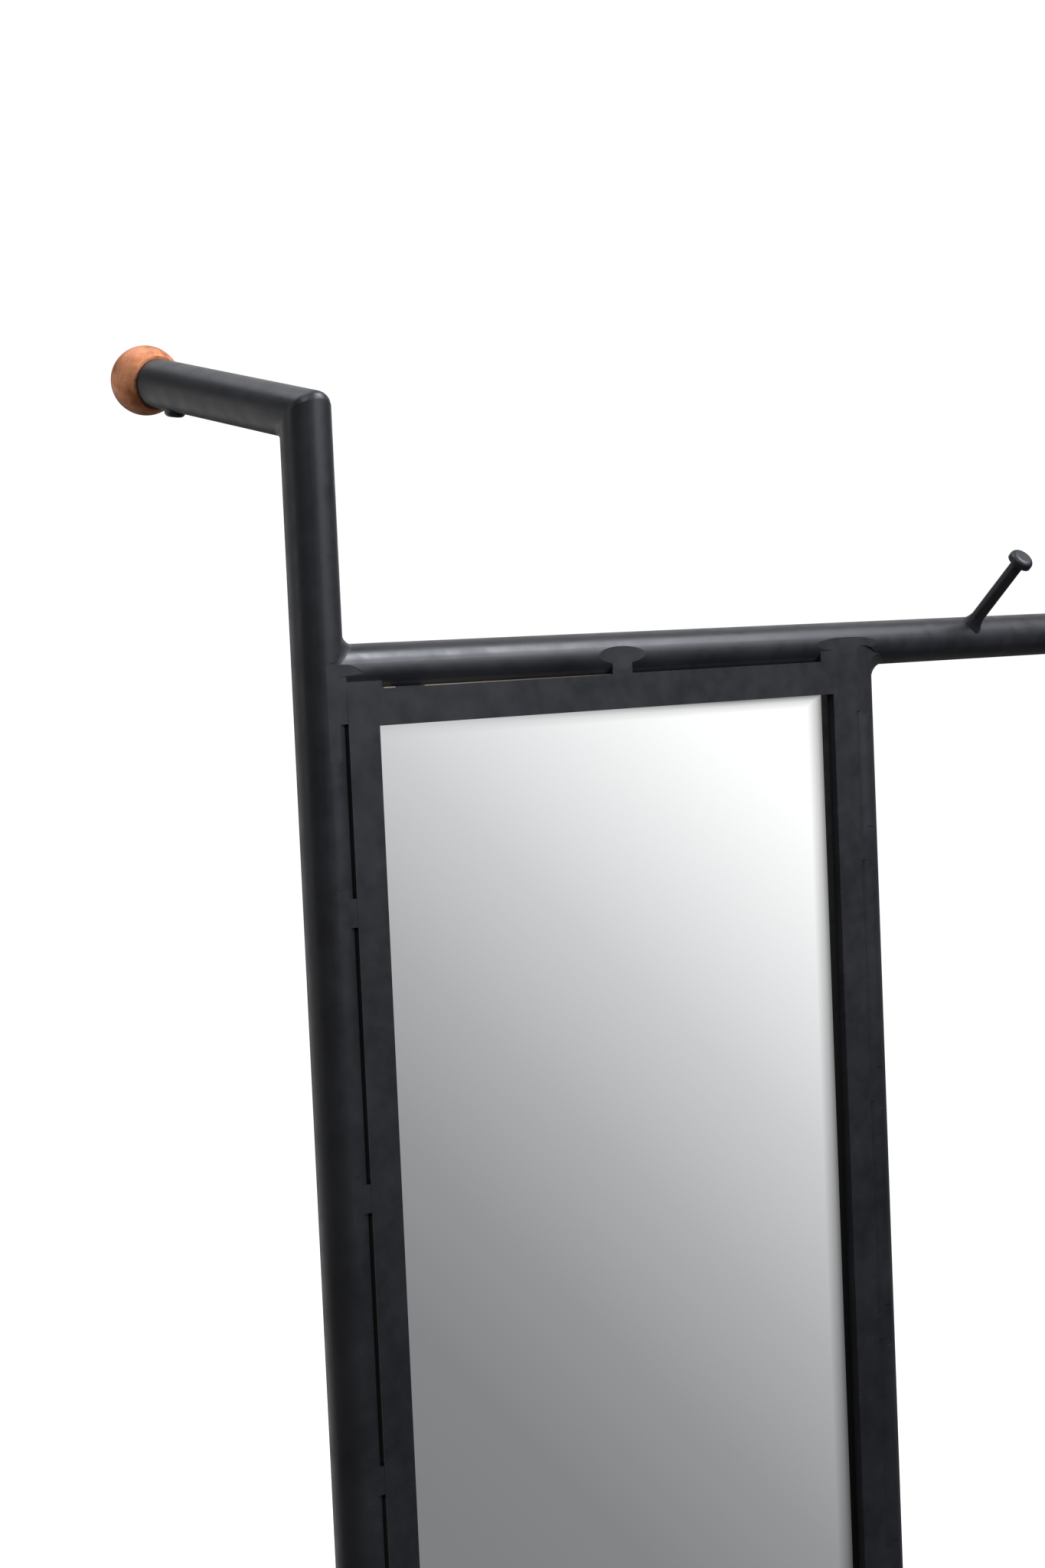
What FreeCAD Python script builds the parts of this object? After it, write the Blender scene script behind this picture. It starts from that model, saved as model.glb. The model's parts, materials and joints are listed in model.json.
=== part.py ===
import FreeCAD
import Part
import math
import os

# Floor mirror with coat rack: welded round-tube frame, mirror bay at the left, coat bay at the right.
# Millimetres. +Z up, +X along the top rail, -Y towards the viewer. Origin on the floor under the middle.

# Driving dimensions
tube_diameter = 25.4
tube_wall = 1.5
mirror_bay_pitch = 372.0
coat_bay_pitch = 408.0
corner_height = 1700.0
top_rail_drop = 123.2
bottom_rail_height = 250.0
foot_length = 400.0
arm_length = 136.8
arm_tilt = 12.43
ball_diameter = 36.4
ball_reach = 11.7
spigot_length = 34.0
screw_setback = 19.0
screw_diameter = 6.0
screw_head_diameter = 11.0
screw_head_height = 2.6
bar_width = 18.6
bar_thickness = 5.0
glass_thickness = 4.0
board_thickness = 3.0
hook_diameter = 7.8
hook_reach = 47.8
hook_rise = 44.9
hook_first = 99.1
hook_head_diameter = 14.8
hook_head_thickness = 5.0
stitch_length = 14.0
stitch_pitch = 140.0
stitch_first = 117.5
weld_leg = 7.5
outer_weld_leg = 13.0
left_fill_rise = 3.3
peg_weld_width = 6.2
peg_weld_rise = 6.0
glide_diameter = 22.0
glide_height = 6.0
plug_thickness = 4.0

# Sizes that follow from the driving dimensions
tube_radius = tube_diameter / 2.0
bore_radius = tube_radius - tube_wall
left_x = -(mirror_bay_pitch + coat_bay_pitch) / 2.0
side_x = left_x + mirror_bay_pitch
right_x = side_x + coat_bay_pitch
top_z = corner_height - top_rail_drop
bottom_z = bottom_rail_height
foot_z = glide_height + tube_radius
bar_front = -(tube_radius - 0.3)
bar_back = bar_front + bar_thickness
bar_offset = 0.315 * tube_diameter
level_offset = 0.36 * tube_diameter
glass_back = bar_back + glass_thickness
board_back = glass_back + board_thickness
glass_offset = tube_radius + 2.0
mitre_rounding = 3.2 * tube_wall
grazing_tolerance = 0.001

X_DIR = FreeCAD.Vector(1, 0, 0)
Z_DIR = FreeCAD.Vector(0, 0, 1)
FRONT = FreeCAD.Vector(0, -1, 0)


def point(x, y, z):
    return FreeCAD.Vector(x, y, z)


def rod(start, end, radius):
    run = end - start
    return Part.makeCylinder(radius, run.Length, start, run)


def tube(start, end):
    run = end - start
    spare = FreeCAD.Vector(run).normalize() * 1.0
    return rod(start, end, tube_radius).cut(rod(start - spare, end + spare, bore_radius))


def block(x0, x1, y0, y1, z0, z1):
    return Part.makeBox(x1 - x0, y1 - y0, z1 - z0, point(x0, y0, z0))


def half_space(at, normal):
    reach = 6.0 * tube_diameter
    slab = Part.makeBox(2.0 * reach, 2.0 * reach, reach, point(-reach, -reach, 0))
    turn = FreeCAD.Rotation(Z_DIR, normal)
    slab.Placement = FreeCAD.Placement(at, turn)
    return slab


def save(shape, node):
    shape.exportStep("parts/" + node + ".step")


def group(shapes):
    return Part.makeCompound([solid for shape in shapes for solid in shape.Solids])


def crotch_weld(center, branch, through, leg, taper=1.0):
    """Concave weld in the angle between a branch tube and the equal tube it meets."""
    facing = (through - branch * through.dot(branch)).normalize()
    across = branch.cross(facing)
    sections = []
    for step in range(-4, 5):
        angle = math.radians(19.0 * step)
        ring = (facing * math.cos(angle) + across * math.sin(angle)) * tube_radius
        seam = center + ring + branch * (ring.dot(through) / (1.0 - branch.dot(through)))
        reach = leg * math.cos(angle) ** taper
        inside = seam - (branch + through)
        on_branch = seam + branch * reach - through * 0.15
        on_through = seam + through * reach - branch * 0.15
        hollow = seam + (branch + through) * (0.29 * reach)
        sections.append(Part.Wire([
            Part.Arc(on_branch, hollow, on_through).toShape(),
            Part.makeLine(on_through, inside),
            Part.makeLine(inside, on_branch),
        ]))
    return Part.makeLoft(sections, True)


def ground_chord(at, toward, offset, reach):
    """Ends and outward direction of a ground face, from a bar's edge to a little past its tube's front."""
    past_front = reach * tube_radius
    low = at + toward * offset - FRONT * bar_front
    high = at - toward * past_front + FRONT * math.sqrt(tube_radius ** 2 - past_front ** 2)
    run = (high - low).normalize()
    return low, high, (FRONT - run * FRONT.dot(run)).normalize()


def flat_pass(at, toward, offset, reach, radius):
    """Round spot ground flat over a weld and the front of its tube."""
    low, high, outward = ground_chord(at, toward, offset, reach)
    center = (low + high) * 0.5
    return rod(center, center + outward * tube_radius, radius)


def hollow_pass(at, toward, offset, reach, half_width):
    """Shallow round-bottomed grinding pass, deepest at its middle."""
    low, high, outward = ground_chord(at, toward, offset, reach)
    depth = tube_radius - outward.dot(low - at)
    wheel = half_width ** 2 / (2.0 * depth)
    center = low + outward * wheel
    along = high - low
    return rod(center - along * 1.5, center + along * 2.5, wheel)


def cut_all(shape, cutters):
    for cutter in cutters:
        shape = shape.cut(cutter)
    return shape


def grazing_cut(shape, cutter):
    """Cut by a face that runs out tangent to the shape, eased by a small tolerance where it has to be."""
    exact = shape.cut(cutter)
    if exact.isValid():
        return exact
    return shape.cut([cutter], grazing_tolerance)


def mitre_cutter(corner, arm_dir):
    """Removes the sharp outer ridge of the mitre between a post and its tilted arm, all along it."""
    outward = (Z_DIR - arm_dir).normalize()
    above_arm = X_DIR.cross(arm_dir)
    half_sine = math.sin(arm_dir.getAngle(Z_DIR * -1.0) / 2)
    sections = []
    for step in range(-6, 7):
        angle = math.radians(13.5 * step)
        half_depth = tube_radius * math.cos(angle)
        rounding = mitre_rounding * math.cos(angle)
        slice_center = corner + X_DIR * (tube_radius * math.sin(angle))
        center = slice_center + outward * ((half_depth - rounding) / half_sine)
        on_post = center + FRONT * rounding
        on_arm = center + above_arm * rounding
        beyond = slice_center + outward * (half_depth / half_sine + 3.0)
        sections.append(Part.Wire([
            Part.Arc(on_post, center + outward * rounding, on_arm).toShape(),
            Part.makeLine(on_arm, beyond),
            Part.makeLine(beyond, on_post),
        ]))
    return Part.makeLoft(sections, True)


def peg_weld(root, peg_dir, peg_radius):
    """Concave weld that runs round the root of a peg on the top rail."""
    depth = 0.44 * tube_radius

    def place(out, along):
        return root + X_DIR * (peg_radius + out) + peg_dir * (tube_radius + along)

    high = place(0.0, peg_weld_rise)
    middle = place(0.25 * peg_weld_width, 0.1 * peg_weld_rise)
    low = place(peg_weld_width, -depth)
    foot = place(0.0, -depth)
    profile = Part.Wire([
        Part.Arc(high, middle, low).toShape(),
        Part.makeLine(low, foot),
        Part.makeLine(foot, high),
    ])
    return Part.Face(profile).revolve(root, peg_dir, 360)


os.makedirs("parts", exist_ok=True)

# Solid envelopes of the main tubes, used to cope one tube against another
arm_dir = point(0, math.cos(math.radians(arm_tilt)), math.sin(math.radians(arm_tilt)))
mitre_dir = (arm_dir + Z_DIR).normalize()
post_full = {}
foot_full = {}
foot_half = foot_length / 2
for side, post_x in (("left", left_x), ("right", right_x)):
    post_top = point(post_x, 0, corner_height + tube_diameter)
    post_full[side] = rod(point(post_x, 0, foot_z), post_top, tube_radius)
    foot_full[side] = rod(point(post_x, -foot_half, foot_z), point(post_x, foot_half, foot_z), tube_radius)
top_full = rod(point(left_x, 0, top_z), point(right_x, 0, top_z), tube_radius)
bottom_full = rod(point(left_x, 0, bottom_z), point(right_x, 0, bottom_z), tube_radius)
side_full = rod(point(side_x, 0, bottom_z), point(side_x, 0, top_z), tube_radius)

# Grinding passes that dress the stitch welds and the filled corners of the mirror bay
bay_middle = (left_x + side_x) / 2
stitch_count = int((top_z - bottom_z - stitch_first - 90.0) / stitch_pitch) + 1
stitch_spots = [top_z - stitch_first - index * stitch_pitch for index in range(stitch_count)]
left_passes = []
side_passes = []
for spot in stitch_spots:
    left_passes.append(flat_pass(point(left_x, 0, spot), X_DIR, bar_offset, 0.25, 0.9 * stitch_length))
    side_passes.append(flat_pass(point(side_x, 0, spot), X_DIR * -1.0, bar_offset, 0.25, 0.9 * stitch_length))
level_passes = {}
corner_passes = {}
for level_z, inward in ((top_z, -1), (bottom_z, 1)):
    to_bar = Z_DIR * inward
    middle_pass = hollow_pass(point(bay_middle, 0, level_z), to_bar, level_offset, 0.42, 1.15 * stitch_length)
    side_level = hollow_pass(point(side_x - 14.0, 0, level_z), to_bar, level_offset, 0.33, 25.0)
    left_upright = flat_pass(point(left_x, 0, level_z + inward * 20.0), X_DIR, bar_offset, 0.27, 24.0)
    side_upright = flat_pass(point(side_x, 0, level_z + inward * 14.0), X_DIR * -1.0, bar_offset, 0.40, 27.0)
    side_heel = flat_pass(point(side_x, 0, level_z + inward * 17.0), X_DIR * -1.0, bar_offset, 0.40, 16.0)
    level_passes[level_z] = [middle_pass, side_level, side_heel, left_upright]
    left_passes.append(left_upright)
    side_passes.append(side_upright)
    corner_passes[left_x, level_z] = [left_upright]
    corner_passes[side_x, level_z] = [side_level, side_upright]
    corner_passes[right_x, level_z] = []
post_full["left"] = cut_all(post_full["left"], left_passes)
side_full = cut_all(side_full, side_passes)
top_full = cut_all(top_full, level_passes[top_z])
bottom_full = cut_all(bottom_full, level_passes[bottom_z])

# Posts, feet and the tilted arms with their ball ends
ball_screws = []
foot_plugs = []
floor_glides = []
for side, post_x in (("left", left_x), ("right", right_x)):
    corner = point(post_x, 0, corner_height)
    ridge = mitre_cutter(corner, arm_dir)
    post = tube(point(post_x, 0, foot_z), point(post_x, 0, corner_height + tube_diameter))
    post = grazing_cut(post.cut(half_space(corner, mitre_dir)).cut(foot_full[side]), ridge)
    if side == "left":
        post = cut_all(post, left_passes)
    save(post, side + "_post")

    arm_end = corner + arm_dir * arm_length
    seat = corner + arm_dir * (arm_length - screw_setback)
    down = X_DIR.cross(arm_dir) * -1.0
    screw_hole = rod(seat, seat + down * tube_diameter, screw_diameter / 2)
    arm = tube(corner - arm_dir * tube_diameter, arm_end)
    arm = grazing_cut(arm.cut(half_space(corner, mitre_dir * -1.0)).cut(screw_hole), ridge)
    save(arm, side + "_arm")

    ball_center = arm_end + arm_dir * ball_reach
    ball = Part.makeSphere(ball_diameter / 2, ball_center)
    ball = ball.cut(half_space(arm_end, arm_dir * -1.0))
    spigot = rod(arm_end - arm_dir * spigot_length, arm_end + arm_dir, bore_radius)
    ball = ball.fuse(spigot).cut(screw_hole).removeSplitter()
    save(ball, side + "_ball")

    under = seat + down * (tube_radius - 1.4)
    shank = rod(seat, under + down, screw_diameter / 2)
    head = rod(under, under + down * (1.4 + screw_head_height), screw_head_diameter / 2)
    rim = max(head.Edges, key=lambda edge: edge.CenterOfMass.dot(down))
    head = head.makeFillet(screw_head_height * 0.95, [rim])
    socket_at = under + down * (1.4 + screw_head_height)
    socket = rod(socket_at - down * 1.8, socket_at + down, screw_diameter * 0.3)
    arm_outer = rod(corner, arm_end, tube_radius)
    head = head.cut(arm_outer).cut(socket)
    ball_screws.append(shank.fuse(head).removeSplitter())

    foot = tube(point(post_x, -foot_half, foot_z), point(post_x, foot_half, foot_z))
    for end in (-1, 1):
        tip = end * foot_half
        pad_y = end * (foot_half - 1.2 * glide_diameter)
        pad = rod(point(post_x, pad_y, 0), point(post_x, pad_y, foot_z), glide_diameter / 2)
        trim = rod(point(post_x, pad_y, glide_height + 5.0), point(post_x, pad_y, foot_z + 1), glide_diameter)
        pad = pad.cut(trim)
        pad = pad.cut(foot_full[side])
        stem = rod(point(post_x, pad_y, 1), point(post_x, pad_y, glide_height + tube_wall + 5.0), 3.0)
        foot = foot.cut(stem)
        floor_glides.append(pad.fuse(stem).removeSplitter())
        inside = rod(point(post_x, tip - end * 18.0, foot_z), point(post_x, tip, foot_z), bore_radius)
        cap_end = point(post_x, tip + end * plug_thickness, foot_z)
        cap = rod(point(post_x, tip, foot_z), cap_end, tube_radius)
        outer_edge = max(cap.Edges, key=lambda edge: end * edge.CenterOfMass.y)
        cap = cap.makeFillet(plug_thickness * 0.7, [outer_edge])
        foot_plugs.append(cap.fuse(inside).removeSplitter())
    save(foot, side + "_foot")

    beads = []
    for toward in (-1, 1):
        bead = crotch_weld(point(post_x, 0, foot_z), Z_DIR, point(0, toward, 0), weld_leg)
        beads.append(bead.cut(post_full[side]).cut(foot_full[side]))
    save(group(beads), side + "_foot_weld")
    bead = crotch_weld(corner, arm_dir, Z_DIR * -1.0, weld_leg)
    save(group([bead.cut(post_full[side]).cut(arm_outer)]), side + "_arm_weld")
save(group(ball_screws), "ball_screws")
save(group(foot_plugs), "foot_plugs")
save(group(floor_glides), "floor_glides")

# Rails and the tube that closes the mirror bay, coped to the tubes they meet
top_rail = tube(point(left_x, 0, top_z), point(right_x, 0, top_z))
top_rail = top_rail.cut(post_full["left"]).cut(post_full["right"])
bottom_rail = tube(point(left_x, 0, bottom_z), point(right_x, 0, bottom_z))
bottom_rail = bottom_rail.cut(post_full["left"]).cut(post_full["right"])
side_tube = tube(point(side_x, 0, bottom_z), point(side_x, 0, top_z))
side_tube = side_tube.cut(top_full).cut(bottom_full)
save(cut_all(top_rail, level_passes[top_z]), "top_rail")
save(cut_all(bottom_rail, level_passes[bottom_z]), "bottom_rail")
save(cut_all(side_tube, side_passes), "mirror_side_tube")

# Flat bars of the mirror frame, mitred at the corners and bevelled against the tubes
out_left = left_x + bar_offset
out_right = side_x - bar_offset
out_top = top_z - level_offset
out_bottom = bottom_z + level_offset
in_left = out_left + bar_width
in_right = out_right - bar_width
in_top = out_top - bar_width
in_bottom = out_bottom + bar_width
bar_corners = {
    "left": ((out_left, out_top), (in_left, in_top), (in_left, in_bottom), (out_left, out_bottom)),
    "right": ((out_right, out_top), (in_right, in_top), (in_right, in_bottom), (out_right, out_bottom)),
    "top": ((out_left, out_top), (in_left, in_top), (in_right, in_top), (out_right, out_top)),
    "bottom": ((out_left, out_bottom), (in_left, in_bottom), (in_right, in_bottom), (out_right, out_bottom)),
}
bars = []
for name, corners in bar_corners.items():
    outline = [point(x, bar_front, z) for x, z in corners]
    face = Part.Face(Part.makePolygon(outline + outline[:1]))
    bar = face.extrude(point(0, bar_thickness, 0))
    for full in (post_full["left"], side_full, top_full, bottom_full):
        bar = bar.cut(full)
    bars.append(bar)
    save(bar, "mirror_frame_" + name)

# Stitch welds in the groove between each bar and its tube, solid over the corners
seam_front = bar_front + 0.1
seam_back = -math.sqrt(tube_radius ** 2 - level_offset ** 2) + 0.6


def upright_fill(tube_x, toward, z_high, z_low, full):
    xs = sorted((tube_x, tube_x + toward * bar_offset))
    return block(xs[0], xs[1], seam_front, seam_back, z_low, z_high).cut(full)


def level_fill(tube_z, toward, x_low, x_high, rise, full):
    edge_z = tube_z + toward * level_offset
    zs = sorted((edge_z, edge_z - toward * rise))
    return block(x_low, x_high, seam_front, seam_back, zs[0], zs[1]).cut(full)


left_stitches = []
right_stitches = []
for index, spot in enumerate(stitch_spots):
    high = spot + stitch_length / 2
    low = spot - stitch_length / 2
    left_stitches.append(upright_fill(left_x, 1, high, low, post_full["left"]).cut(left_passes[index]))
    right_stitches.append(upright_fill(side_x, -1, high, low, side_full).cut(side_passes[index]))
save(group(left_stitches), "left_stitch_welds")
save(group(right_stitches), "right_stitch_welds")
level_stitches = []
for tube_z, toward, full in ((top_z, -1, top_full), (bottom_z, 1, bottom_full)):
    low = bay_middle - stitch_length / 2
    stitch = level_fill(tube_z, toward, low, low + stitch_length, level_offset, full)
    level_stitches.append(stitch.cut(level_passes[tube_z][0]))
save(group(level_stitches), "level_stitch_welds")
corner_fills = []
corner_places = (
    (left_x, 1, post_full["left"], 29.0, 26.0, left_fill_rise),
    (side_x, -1, side_full, 36.0, 38.5, level_offset),
)
for tube_x, toward_x, full_x, level_lead, upright_lead, rise in corner_places:
    for tube_z, toward_z, full_z in ((top_z, -1, top_full), (bottom_z, 1, bottom_full)):
        far_z = tube_z + toward_z * upright_lead
        fill = upright_fill(tube_x, toward_x, max(tube_z, far_z), min(tube_z, far_z), full_x).cut(full_z)
        far_x = tube_x + toward_x * level_lead
        run = level_fill(tube_z, toward_z, min(tube_x, far_x), max(tube_x, far_x), rise, full_z).cut(full_x)
        fill = fill.fuse(run).removeSplitter()
        corner_fills.append(cut_all(fill, bars + corner_passes[tube_x, tube_z]))
save(group(corner_fills), "corner_welds")

# Welds where rails and the side tube meet the tubes they stand on
right = X_DIR
left = X_DIR * -1.0
up = Z_DIR
down = Z_DIR * -1.0
for level, level_z, level_full, inward in (("top", top_z, top_full, down), ("bottom", bottom_z, bottom_full, up)):
    even = ((up, weld_leg, 1.0), (down, weld_leg, 1.0))
    uneven = ((left, weld_leg, 1.0), (right, outer_weld_leg, 0.5))
    joints = (
        ("left", left_x, right, even, level_full, post_full["left"]),
        ("right", right_x, left, even, level_full, post_full["right"]),
        ("side", side_x, inward, uneven, side_full, level_full),
    )
    for place, joint_x, branch, flanks, branch_full, through_full in joints:
        beads = []
        for toward, leg, taper in flanks:
            bead = crotch_weld(point(joint_x, 0, level_z), branch, toward, leg, taper)
            bead = bead.cut(branch_full).cut(through_full)
            bead = cut_all(bead, bars + corner_fills + corner_passes[joint_x, level_z])
            beads.append(max(bead.Solids, key=lambda solid: solid.Volume))
        save(group(beads), level + "_" + place + "_weld")

# Mirror glass, backing board, setting blocks and the tabs that hold them in
glass_left = left_x + glass_offset
glass_right = side_x - glass_offset
glass_bottom = bottom_z + glass_offset
glass_top = top_z - glass_offset
save(block(glass_left, glass_right, bar_back, glass_back, glass_bottom, glass_top), "mirror_glass")
save(block(glass_left, glass_right, glass_back, board_back, glass_bottom, glass_top), "backing_board")
setting_blocks = []
for third in (-1, 1):
    middle = bay_middle + third * mirror_bay_pitch / 5
    pad = block(middle - 15, middle + 15, bar_back, board_back, bottom_z + 3.0, glass_bottom)
    setting_blocks.append(pad.cut(bottom_full))
save(group(setting_blocks), "setting_blocks")
tabs = []
tab_rows = 4
for row in range(tab_rows):
    tab_z = bottom_z + (top_z - bottom_z) * (row + 0.5) / tab_rows
    for tube_x, toward, full in ((left_x, 1, post_full["left"]), (side_x, -1, side_full)):
        xs = sorted((tube_x, tube_x + toward * (glass_offset + 16.0)))
        tab = block(xs[0], xs[1], board_back, board_back + 2.0, tab_z - 12.0, tab_z + 12.0)
        tabs.append(tab.cut(full))
save(group(tabs), "backing_tabs")

# Coat pegs standing forward and up from the top rail, each with a domed disc head
hook_run = math.hypot(hook_reach, hook_rise)
hook_dir = point(0, -hook_reach / hook_run, hook_rise / hook_run)
hook_last = coat_bay_pitch - hook_first
hook_total = 3
hook_welds = []
for index in range(hook_total):
    hook_x = side_x + hook_first + (hook_last - hook_first) * index / (hook_total - 1)
    root = point(hook_x, 0, top_z)
    tip = root + hook_dir * (hook_run + hook_head_thickness / 2)
    peg = rod(root, tip - hook_dir * 0.5, hook_diameter / 2).cut(top_full)
    disc = rod(tip - hook_dir * hook_head_thickness, tip, hook_head_diameter / 2)
    crown = max(disc.Edges, key=lambda edge: edge.CenterOfMass.dot(hook_dir))
    disc = disc.makeFillet(hook_head_thickness * 0.6, [crown])
    save(peg.fuse(disc).removeSplitter(), "coat_peg_" + str(index + 1))
    collar = peg_weld(root, hook_dir, hook_diameter / 2)
    hook_welds.append(collar.cut(top_full).cut(peg))
save(group(hook_welds), "peg_welds")
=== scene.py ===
import json
import math

import bmesh
import bpy
from mathutils import Matrix, Vector


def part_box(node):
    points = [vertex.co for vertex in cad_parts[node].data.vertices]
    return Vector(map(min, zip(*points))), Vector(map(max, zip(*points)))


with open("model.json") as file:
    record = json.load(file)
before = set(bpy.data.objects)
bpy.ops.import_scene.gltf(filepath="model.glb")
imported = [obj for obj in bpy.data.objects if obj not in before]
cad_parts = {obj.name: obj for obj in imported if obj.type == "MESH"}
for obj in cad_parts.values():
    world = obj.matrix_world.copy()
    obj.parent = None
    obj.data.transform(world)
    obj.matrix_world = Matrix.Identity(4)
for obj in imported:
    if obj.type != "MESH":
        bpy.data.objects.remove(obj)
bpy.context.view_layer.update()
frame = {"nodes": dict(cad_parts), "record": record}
nodes = frame["nodes"]

# Camera, fitted to edges measured in the photograph: pixels, radians and metres
IMAGE_WIDTH = 1365.0
FOCAL_PIXELS = 3224.0
SENSOR_WIDTH = 36.0
CLIP_END = 200.0
CAMERA_FROM_CORNER = Vector((-0.68044, -0.98554, -0.11095))
CAMERA_YAW = 0.6849
CAMERA_PITCH = -0.0594
CAMERA_ROLL = -0.0440

# Sizes of the frame that the boxes of its pieces don't give
RAIL_DROP = 0.1232
STITCH_FIRST = 0.1175
STITCH_PITCH = 0.140
STITCH_CLEAR = 0.009
CORNER_FILL_HEIGHT = 0.027
CORNER_FILL_WIDTH = 0.030

# Powder coat, and the metal that shows where its edge along a groove is chipped
COAT_DARK = (0.0070, 0.0072, 0.0084)
COAT_LIGHT = (0.0130, 0.0132, 0.0150)
COAT_STOPS = ((0.32, COAT_DARK), (0.72, COAT_LIGHT))
COAT_ROUGHNESS = ((0.3, 0.36), (0.75, 0.50))
COAT_SPECULAR = 0.34
BARE_METAL = (0.23, 0.185, 0.130)
DULL_METAL = (0.045, 0.040, 0.032)
CHIP_WIDTH = 0.0004
CHIP_LEVEL = 0.24
CHIP_FADING = ((0.0, 1.0), (0.3, 0.7), (0.6, 0.3), (1.0, 0.12))

# Copper balls, hardboard and grain
COPPER_STOPS = (
    (0.30, (0.20, 0.060, 0.022)),
    (0.47, (0.40, 0.135, 0.052)),
    (0.60, (0.52, 0.215, 0.095)),
    (0.74, (0.30, 0.095, 0.036)),
)
COPPER_ROUGHNESS = ((0.3, 0.44), (0.75, 0.62))
COPPER_METALLIC = 0.55
BOARD_STOPS = (
    (0.30, (0.11, 0.064, 0.034)),
    (0.55, (0.19, 0.12, 0.068)),
    (0.78, (0.27, 0.18, 0.11)),
)
BOARD_ROUGHNESS = 0.82
FIBRE_STRETCH = (1.0, 1.0, 0.35)
FIBRE_HEIGHT = 0.0005
GRAIN_HEIGHT = 0.0004

# Mirror: silvering, with painted shade close to the upper and right-hand bars
SILVER = 0.92
SILVER_STOPS = ((0.3, (0.91, 0.92, 0.92)), (0.75, (0.925, 0.93, 0.93)))
SILVER_ROUGHNESS = 0.012
SILVER_PAINTED_SHADE = (0.16, 0.16, 0.155)
TOP_SHADE_DEPTH = 0.007
TOP_SHADE_STOPS = ((0.0, 1.0), (0.45, 0.35), (1.0, 0.0))
TOP_SHADE_ACROSS = ((0.1, 0.2), (0.75, 1.0))
RIGHT_SHADE_DEPTH = 0.017
RIGHT_SHADE_STOPS = ((0.0, 1.0), (0.34, 0.90), (0.55, 0.52), (1.0, 0.0))

# Studio: metres, watts and emission strengths
FLOOR_HALF = 39.0
FLOOR_STOPS = ((0.2, (0.86, 0.86, 0.86)), (0.8, (0.89, 0.89, 0.89)))
FLOOR_ROUGHNESS = 0.9
FLOOR_GLOW = 0.90
SURROUND_RADIUS = 60.0
SURROUND_GLOW = 1.05
CARD_DISTANCE = 1.9
CARD_HALF = 1.4
CARD_AIM_DROP = 0.28
CARD_STOPS = (
    (0.15, 0.212),
    (0.26, 0.231),
    (0.38, 0.300),
    (0.50, 0.420),
    (0.634, 0.605),
    (0.76, 0.84),
    (0.86, 1.02),
)
CARD_TINT = (0.978, 1.0, 1.044)
ROOM_GREY = 0.16
COOL_LIGHT = (0.94, 0.97, 1.06)
FOCUS_SHIFT = 0.2
FOCUS_DROP = 0.1
# name, place, width, height, power
SOFTBOXES = (
    ("key_softbox", (0.9, -1.1, 3.2), 0.8, 0.8, 74.0),
    ("front_softbox", (0.7, -2.0, 2.4), 1.6, 1.0, 43.0),
    ("overhead_softbox", (-0.6, 0.5, 3.4), 1.6, 1.6, 28.0),
    ("left_softbox", (-2.6, 0.9, 2.1), 0.8, 1.8, 8.0),
    ("camera_softbox", (-1.4, -1.3, 2.9), 0.8, 0.8, 16.0),
)


def middle(node):
    low, high = (Vector(corner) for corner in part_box(node))
    return (low + high) / 2.0


def size(node):
    low, high = (Vector(corner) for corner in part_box(node))
    return high - low


LEFT_X = middle("left_post").x
SIDE_X = middle("mirror_side_tube").x
BAY_X = (LEFT_X + SIDE_X) / 2.0
TOP_Z = middle("top_rail").z
BOTTOM_Z = middle("bottom_rail").z
CORNER = Vector((LEFT_X, 0.0, TOP_Z + RAIL_DROP))


# Node helpers
def fill_ramp(node, stops):
    """Sets a colour ramp's stops, each a place with a colour or a grey."""
    points = node.color_ramp.elements
    while len(points) < len(stops):
        points.new(0.5)
    for point, (place, color) in zip(points, stops):
        point.position = place
        point.color = (*color, 1.0) if isinstance(color, tuple) else (color, color, color, 1.0)


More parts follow.
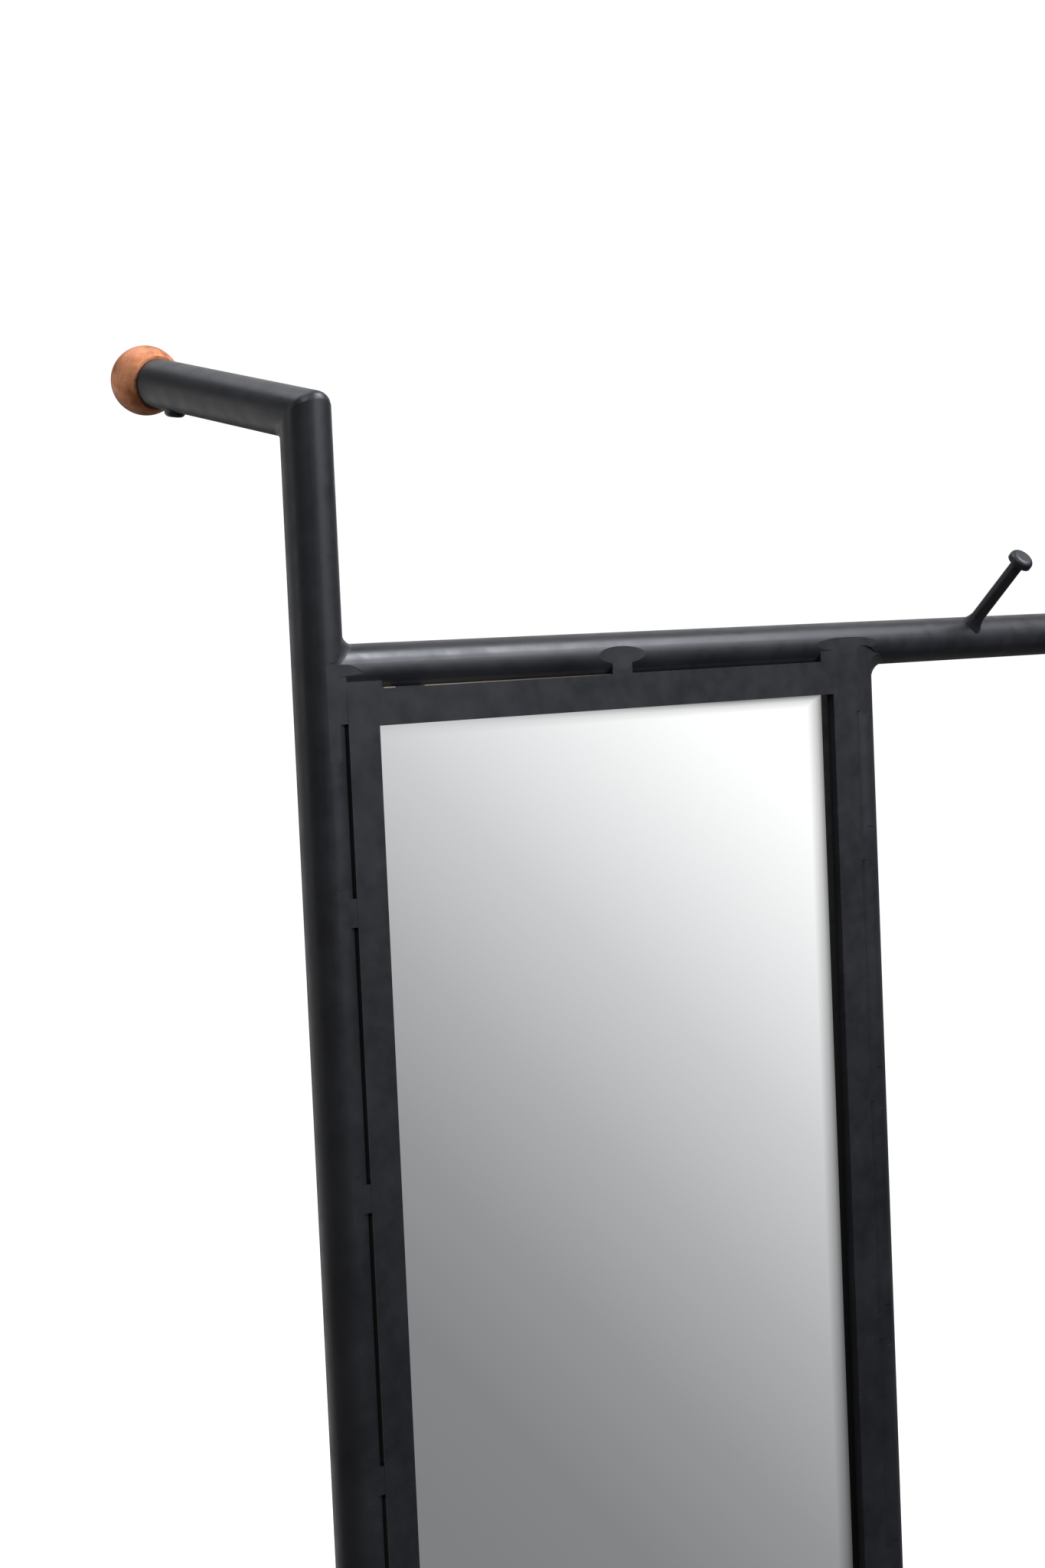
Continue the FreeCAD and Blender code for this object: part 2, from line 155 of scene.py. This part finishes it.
class Tree:
    """A material's node tree with short calls for the nodes used here."""

    def __init__(self, name):
        self.material = bpy.data.materials.new(name)
        self.material.use_nodes = True
        self.nodes = self.material.node_tree.nodes
        self.links = self.material.node_tree.links
        self.shader = self.nodes["Principled BSDF"]
        self.coords = self.nodes.new("ShaderNodeTexCoord").outputs["Object"]

    def put(self, target, value):
        if isinstance(value, bpy.types.NodeSocket):
            self.links.new(value, target)
        else:
            target.default_value = value

    def set(self, **values):
        for key, value in values.items():
            self.put(self.shader.inputs[key.replace("_", " ")], value)

    def noise(self, scale, detail, roughness, stretch=None):
        node = self.nodes.new("ShaderNodeTexNoise")
        source = self.coords
        if stretch:
            mapping = self.nodes.new("ShaderNodeMapping")
            mapping.inputs["Scale"].default_value = stretch
            self.links.new(source, mapping.inputs["Vector"])
            source = mapping.outputs["Vector"]
        self.links.new(source, node.inputs["Vector"])
        node.inputs["Scale"].default_value = scale
        node.inputs["Detail"].default_value = detail
        node.inputs["Roughness"].default_value = roughness
        return node.outputs["Fac"]

    def ramp(self, factor, stops):
        node = self.nodes.new("ShaderNodeValToRGB")
        self.links.new(factor, node.inputs["Fac"])
        fill_ramp(node, stops)
        return node.outputs["Color"]

    def math(self, operation, first, second):
        node = self.nodes.new("ShaderNodeMath")
        node.operation = operation
        self.put(node.inputs[0], first)
        self.put(node.inputs[1], second)
        return node.outputs["Value"]

    def mix(self, factor, first, second):
        node = self.nodes.new("ShaderNodeMix")
        node.data_type = "RGBA"
        self.put(node.inputs["Factor"], factor)
        self.put(node.inputs["A"], first)
        self.put(node.inputs["B"], second)
        return node.outputs["Result"]

    def axis(self, name):
        node = self.nodes.new("ShaderNodeSeparateXYZ")
        self.links.new(self.coords, node.inputs["Vector"])
        return node.outputs[name]

    def bump(self, height, strength, distance):
        node = self.nodes.new("ShaderNodeBump")
        node.inputs["Strength"].default_value = strength
        node.inputs["Distance"].default_value = distance
        self.links.new(height, node.inputs["Height"])
        self.links.new(node.outputs["Normal"], self.shader.inputs["Normal"])


# Materials
def slot_chips(tree, edge_axis, edge_place, run_axis, stitch_at, low, high):
    """Where the coat is chipped: close to one edge, between two limits and away from the stitch welds."""
    offset = tree.math("ABSOLUTE", tree.math("SUBTRACT", tree.axis(edge_axis), edge_place), 0.0)
    near = tree.math("LESS_THAN", offset, CHIP_WIDTH)
    run = tree.axis(run_axis)
    steps = tree.math("DIVIDE", tree.math("SUBTRACT", run, stitch_at), STITCH_PITCH)
    nearest = tree.math("ROUND", steps, 0.0)
    away = tree.math("ABSOLUTE", tree.math("SUBTRACT", steps, nearest), 0.0)
    clear = tree.math("GREATER_THAN", away, STITCH_CLEAR / STITCH_PITCH)
    above_low = tree.math("GREATER_THAN", run, low)
    inside = tree.math("MULTIPLY", above_low, tree.math("LESS_THAN", run, high))
    flakes = tree.noise(scale=70.0, detail=5.0, roughness=0.7)
    speckle = tree.math("GREATER_THAN", flakes, CHIP_LEVEL)
    along = tree.math("DIVIDE", tree.math("SUBTRACT", run, low), high - low)
    fading = tree.ramp(along, CHIP_FADING)
    mask = tree.math("MULTIPLY", tree.math("MULTIPLY", near, clear), inside)
    return tree.math("MULTIPLY", tree.math("MULTIPLY", mask, speckle), fading)


def powder_coat(name, chips=None, metal=BARE_METAL):
    """Satin charcoal powder coat, worn to bare metal along one edge where chips says so."""
    tree = Tree(name)
    color = tree.ramp(tree.noise(scale=26.0, detail=4.0, roughness=0.6), COAT_STOPS)
    grain = tree.noise(scale=1400.0, detail=2.0, roughness=0.5)
    rough = tree.ramp(tree.noise(scale=90.0, detail=3.0, roughness=0.6), COAT_ROUGHNESS)
    if chips:
        color = tree.mix(slot_chips(tree, *chips), color, (*metal, 1.0))
    tree.set(Base_Color=color, Roughness=rough, Specular_IOR_Level=COAT_SPECULAR)
    tree.bump(grain, strength=0.05, distance=GRAIN_HEIGHT)
    return tree.material


def burnished_copper(name):
    tree = Tree(name)
    color = tree.ramp(tree.noise(scale=95.0, detail=5.0, roughness=0.62), COPPER_STOPS)
    rough = tree.ramp(tree.noise(scale=220.0, detail=4.0, roughness=0.6), COPPER_ROUGHNESS)
    tree.set(Base_Color=color, Roughness=rough, Metallic=COPPER_METALLIC)
    grain = tree.noise(scale=420.0, detail=3.0, roughness=0.55)
    tree.bump(grain, strength=0.12, distance=GRAIN_HEIGHT)
    return tree.material


def plain_black(name, dark, light, roughness, grain_scale, strength):
    tree = Tree(name)
    color = tree.ramp(tree.noise(scale=60.0, detail=3.0, roughness=0.6), ((0.3, dark), (0.75, light)))
    tree.set(Base_Color=color, Roughness=roughness)
    grain = tree.noise(scale=grain_scale, detail=2.0, roughness=0.5)
    tree.bump(grain, strength, distance=GRAIN_HEIGHT)
    return tree.material


def silvered_glass(name):
    """Silvering with painted shade close to the upper and right-hand bars."""
    tree = Tree(name)
    color = tree.ramp(tree.noise(scale=3.0, detail=2.0, roughness=0.5), SILVER_STOPS)
    top_gap = tree.math("SUBTRACT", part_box("mirror_frame_top")[0][2], tree.axis("Z"))
    top_painted_shade = tree.ramp(tree.math("DIVIDE", top_gap, TOP_SHADE_DEPTH), TOP_SHADE_STOPS)
    right_gap = tree.math("SUBTRACT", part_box("mirror_frame_right")[0][0], tree.axis("X"))
    right_painted_shade = tree.ramp(tree.math("DIVIDE", right_gap, RIGHT_SHADE_DEPTH), RIGHT_SHADE_STOPS)
    across = tree.math("SUBTRACT", tree.axis("X"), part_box("mirror_glass")[0][0])
    top_share = tree.ramp(tree.math("DIVIDE", across, size("mirror_glass").x), TOP_SHADE_ACROSS)
    # Painted shade: the silvering darkens to a grey along the upper and right-hand bars
    painted_shade = tree.math("MAXIMUM", tree.math("MULTIPLY", top_painted_shade, top_share), right_painted_shade)
    color = tree.mix(painted_shade, color, (*SILVER_PAINTED_SHADE, 1.0))
    tree.set(Base_Color=color, Roughness=SILVER_ROUGHNESS, Metallic=1.0)
    return tree.material


def hardboard(name):
    tree = Tree(name)
    fibre = tree.noise(scale=420.0, detail=4.0, roughness=0.65, stretch=FIBRE_STRETCH)
    color = tree.ramp(fibre, BOARD_STOPS)
    tree.set(Base_Color=color, Roughness=BOARD_ROUGHNESS)
    tree.bump(fibre, strength=0.25, distance=FIBRE_HEIGHT)
    return tree.material


def dress(material, *names):
    for name in names:
        mesh = nodes[name].data
        mesh.materials.clear()
        mesh.materials.append(material)


def dress_frame():
    rows = frame["record"]["subparts"]
    coated = [row["node"] for row in rows if row["material_slot"] == "frame_coat"]
    dress(powder_coat("powder_coat"), *coated)
    left_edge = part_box("mirror_frame_left")[0][0]
    left_low = BOTTOM_Z + CORNER_FILL_HEIGHT
    left_high = TOP_Z - CORNER_FILL_HEIGHT
    left_chips = ("X", left_edge, "Z", TOP_Z - STITCH_FIRST, left_low, left_high)
    dress(powder_coat("powder_coat_left_bar", left_chips, DULL_METAL), "mirror_frame_left")
    top_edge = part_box("mirror_frame_top")[1][2]
    top_chips = ("Z", top_edge, "X", BAY_X, LEFT_X + CORNER_FILL_WIDTH, BAY_X)
    dress(powder_coat("powder_coat_top_bar", top_chips), "mirror_frame_top")
    dress(burnished_copper("burnished_copper"), "left_ball", "right_ball")
    oxide = plain_black("black_oxide", dark=0.006, light=0.014, roughness=0.38,
                        grain_scale=900.0, strength=0.05)
    dress(oxide, "ball_screws")
    rubber = plain_black("black_rubber", dark=0.010, light=0.022, roughness=0.75,
                         grain_scale=700.0, strength=0.2)
    dress(rubber, "floor_glides", "setting_blocks")
    plastic = plain_black("black_plastic", dark=0.010, light=0.020, roughness=0.5,
                          grain_scale=1100.0, strength=0.15)
    dress(plastic, "foot_plugs")
    dress(silvered_glass("silvered_glass"), "mirror_glass")
    dress(hardboard("hardboard"), "backing_board")


# Camera at the photograph's viewpoint
def add_camera():
    flat = math.cos(CAMERA_PITCH)
    forward = Vector((math.sin(CAMERA_YAW) * flat, math.cos(CAMERA_YAW) * flat, math.sin(CAMERA_PITCH)))
    level = Vector((math.cos(CAMERA_YAW), -math.sin(CAMERA_YAW), 0.0))
    upward = level.cross(forward)
    right = math.cos(CAMERA_ROLL) * level + math.sin(CAMERA_ROLL) * upward
    up = -math.sin(CAMERA_ROLL) * level + math.cos(CAMERA_ROLL) * upward
    data = bpy.data.cameras.new("photo_camera")
    data.sensor_fit = "HORIZONTAL"
    data.sensor_width = SENSOR_WIDTH
    data.lens = FOCAL_PIXELS * SENSOR_WIDTH / IMAGE_WIDTH
    data.clip_end = CLIP_END
    camera = bpy.data.objects.new("photo_camera", data)
    turn = Matrix((right, up, -forward)).transposed().to_4x4()
    camera.matrix_world = Matrix.Translation(CORNER + CAMERA_FROM_CORNER) @ turn
    bpy.context.scene.collection.objects.link(camera)
    bpy.context.scene.camera = camera
    return camera


# Studio: pale floor, white surround, gradient card for the mirror, glowing sheets, soft lights
def emitter(name, strength):
    """A material that only glows, white unless its emission's colour is linked."""
    material = bpy.data.materials.new(name)
    material.use_nodes = True
    tree = material.node_tree
    tree.nodes.clear()
    out = tree.nodes.new("ShaderNodeOutputMaterial")
    glow = tree.nodes.new("ShaderNodeEmission")
    glow.inputs["Strength"].default_value = strength
    tree.links.new(glow.outputs["Emission"], out.inputs["Surface"])
    return material


def stage_mesh(name, build, material):
    mesh = bpy.data.meshes.new(name)
    shape = bmesh.new()
    build(shape)
    shape.to_mesh(mesh)
    shape.free()
    mesh.materials.append(material)
    thing = bpy.data.objects.new(name, mesh)
    bpy.context.scene.collection.objects.link(thing)
    return thing


def stage_square(name, half, material):
    def square(shape):
        bmesh.ops.create_grid(shape, x_segments=1, y_segments=1, size=half)

    return stage_mesh(name, square, material)


def hide_from(thing, *rays):
    for ray in rays:
        setattr(thing, "visible_" + ray, False)


def seen_by(thing, node):
    """Lets a glowing sheet light one node only."""
    only = bpy.data.collections.new(thing.name + "_receiver")
    only.objects.link(nodes[node])
    thing.light_linking.receiver_collection = only


def add_floor():
    tree = Tree("pale_floor")
    color = tree.ramp(tree.noise(scale=1.5, detail=2.0, roughness=0.5), FLOOR_STOPS)
    tree.set(Base_Color=color, Roughness=FLOOR_ROUGHNESS)
    tree.set(Emission_Color=(1.0, 1.0, 1.0, 1.0), Emission_Strength=FLOOR_GLOW)
    floor = stage_square("floor", FLOOR_HALF, tree.material)
    hide_from(floor, "diffuse", "glossy")


def add_surround():
    def sphere(shape):
        bmesh.ops.create_icosphere(shape, subdivisions=4, radius=SURROUND_RADIUS)

    surround = stage_mesh("surround", sphere, emitter("white_surround", SURROUND_GLOW))
    hide_from(surround, "diffuse", "glossy", "transmission", "shadow")


def card_color(grey):
    """The card's grey, cooler the darker it is."""
    depth = max(0.0, 1.0 - grey)
    return tuple(grey * (1.0 + depth * (tint - 1.0)) for tint in CARD_TINT)


def gradient_glow(name):
    """An emitter that brightens from a square's lower left corner to its upper right one."""
    material = emitter(name, 1.0 / SILVER)
    tree = material.node_tree
    coords = tree.nodes.new("ShaderNodeTexCoord")
    split = tree.nodes.new("ShaderNodeSeparateXYZ")
    tree.links.new(coords.outputs["Object"], split.inputs["Vector"])
    diagonal = tree.nodes.new("ShaderNodeMath")
    diagonal.operation = "ADD"
    tree.links.new(split.outputs["X"], diagonal.inputs[0])
    tree.links.new(split.outputs["Y"], diagonal.inputs[1])
    share = tree.nodes.new("ShaderNodeMath")
    share.operation = "MULTIPLY_ADD"
    share.inputs[1].default_value = 0.5
    share.inputs[2].default_value = 0.5
    tree.links.new(diagonal.outputs["Value"], share.inputs[0])
    ramp = tree.nodes.new("ShaderNodeValToRGB")
    tree.links.new(share.outputs["Value"], ramp.inputs["Fac"])
    fill_ramp(ramp, [(place, card_color(grey)) for place, grey in CARD_STOPS])
    tree.links.new(ramp.outputs["Color"], tree.nodes["Emission"].inputs["Color"])
    return material


def add_mirror_card(camera):
    """A card with a diagonal gradient, placed where the mirror sends the photograph's line of sight."""
    eye = camera.matrix_world.translation
    glass_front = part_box("mirror_glass")[0][1]
    aim = Vector((BAY_X, glass_front, TOP_Z - CARD_AIM_DROP))
    sight = (aim - eye).normalized()
    bounce = Vector((sight.x, -sight.y, sight.z)).normalized()
    card = stage_square("gradient_card", CARD_HALF, gradient_glow("gradient_card"))
    face = bounce.cross(Vector((0.0, 0.0, 1.0))).normalized()
    top = face.cross(bounce).normalized()
    turn = Matrix((-face, top, -bounce)).transposed().to_4x4()
    card.matrix_world = Matrix.Translation(aim + bounce * CARD_DISTANCE) @ turn
    hide_from(card, "camera", "diffuse", "shadow")
    seen_by(card, "mirror_glass")


def add_sheet(name, place, half, strength):
    """A white sheet, turned to the frame, that only glossy surfaces pick up."""
    sheet = stage_square(name, half, emitter(name, strength))
    place = Vector(place)
    aim = (Vector((LEFT_X + FOCUS_SHIFT, 0.0, TOP_Z)) - place).to_track_quat("Z", "Y")
    sheet.matrix_world = Matrix.Translation(place) @ aim.to_matrix().to_4x4()
    hide_from(sheet, "camera", "diffuse", "shadow")
    return sheet


def add_area(name, place, target, width, height, power):
    data = bpy.data.lights.new(name, "AREA")
    data.color = COOL_LIGHT
    data.shape = "RECTANGLE"
    data.size = width
    data.size_y = height
    data.energy = power
    light = bpy.data.objects.new(name, data)
    light.location = place
    light.rotation_euler = (Vector(target) - Vector(place)).to_track_quat("-Z", "Y").to_euler()
    bpy.context.scene.collection.objects.link(light)


def add_lights():
    world = bpy.data.worlds.new("soft_room")
    world.use_nodes = True
    background = world.node_tree.nodes["Background"]
    background.inputs["Color"].default_value = (ROOM_GREY, ROOM_GREY, ROOM_GREY, 1.0)
    bpy.context.scene.world = world
    focus = (LEFT_X + FOCUS_SHIFT, 0.0, TOP_Z - FOCUS_DROP)
    for name, place, width, height, power in SOFTBOXES:
        add_area(name, place, focus, width, height, power)
    bpy.context.scene.view_settings.view_transform = "Standard"


dress_frame()
photo_camera = add_camera()
add_floor()
add_surround()
add_mirror_card(photo_camera)
add_sheet("backdrop_right", (2.0, 2.5, 3.1), half=1.9, strength=1.0)
add_sheet("backdrop_left", (-1.25, 2.2, 1.15), half=1.1, strength=1.0)
reveal_sheet = add_sheet("reveal_sheet", (-1.45, -1.75, 1.58), half=0.46, strength=5.0)
seen_by(reveal_sheet, "mirror_frame_right")
add_lights()
